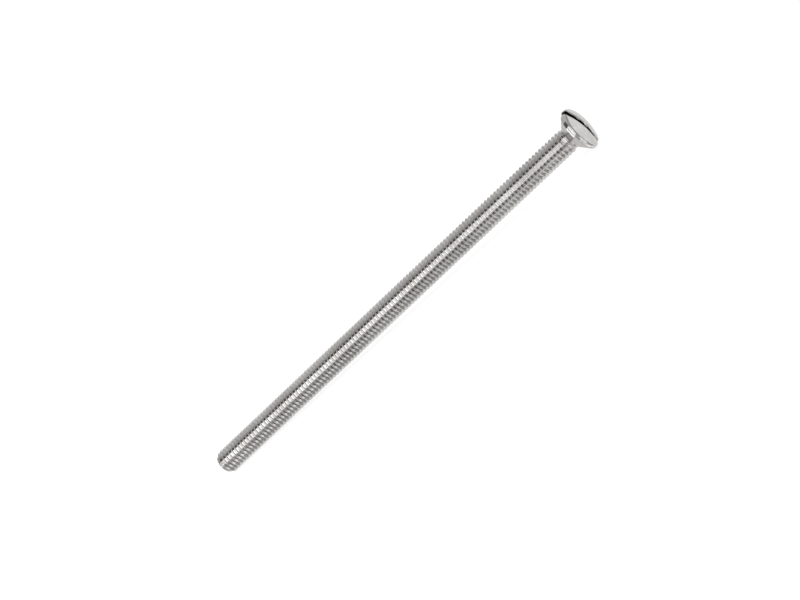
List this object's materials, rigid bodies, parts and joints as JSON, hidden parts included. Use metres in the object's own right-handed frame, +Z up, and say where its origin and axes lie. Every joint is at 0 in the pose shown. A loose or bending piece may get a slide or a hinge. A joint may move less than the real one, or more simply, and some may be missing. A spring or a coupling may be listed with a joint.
{
  "type": "raised countersunk machine screw",
  "caption": "Long slotted machine screw with a domed countersunk head and a right-hand thread along its whole shank, lying on its side.",
  "frame": {"origin": "on the surface that the screw lies on, below the middle of its length", "axes": "+X from the threaded end to the head, which rises 1.1 degrees towards the head; +Z up, along the driver slot; +Y across the slot"},
  "size_m": [0.0708, 0.006, 0.006],
  "materials": {
    "plated_steel": "bright nickel plate over steel, lightly satin from rolling"
  },
  "bodies": {
    "root": {"screw": "plated_steel"}
  },
  "joints": []
}
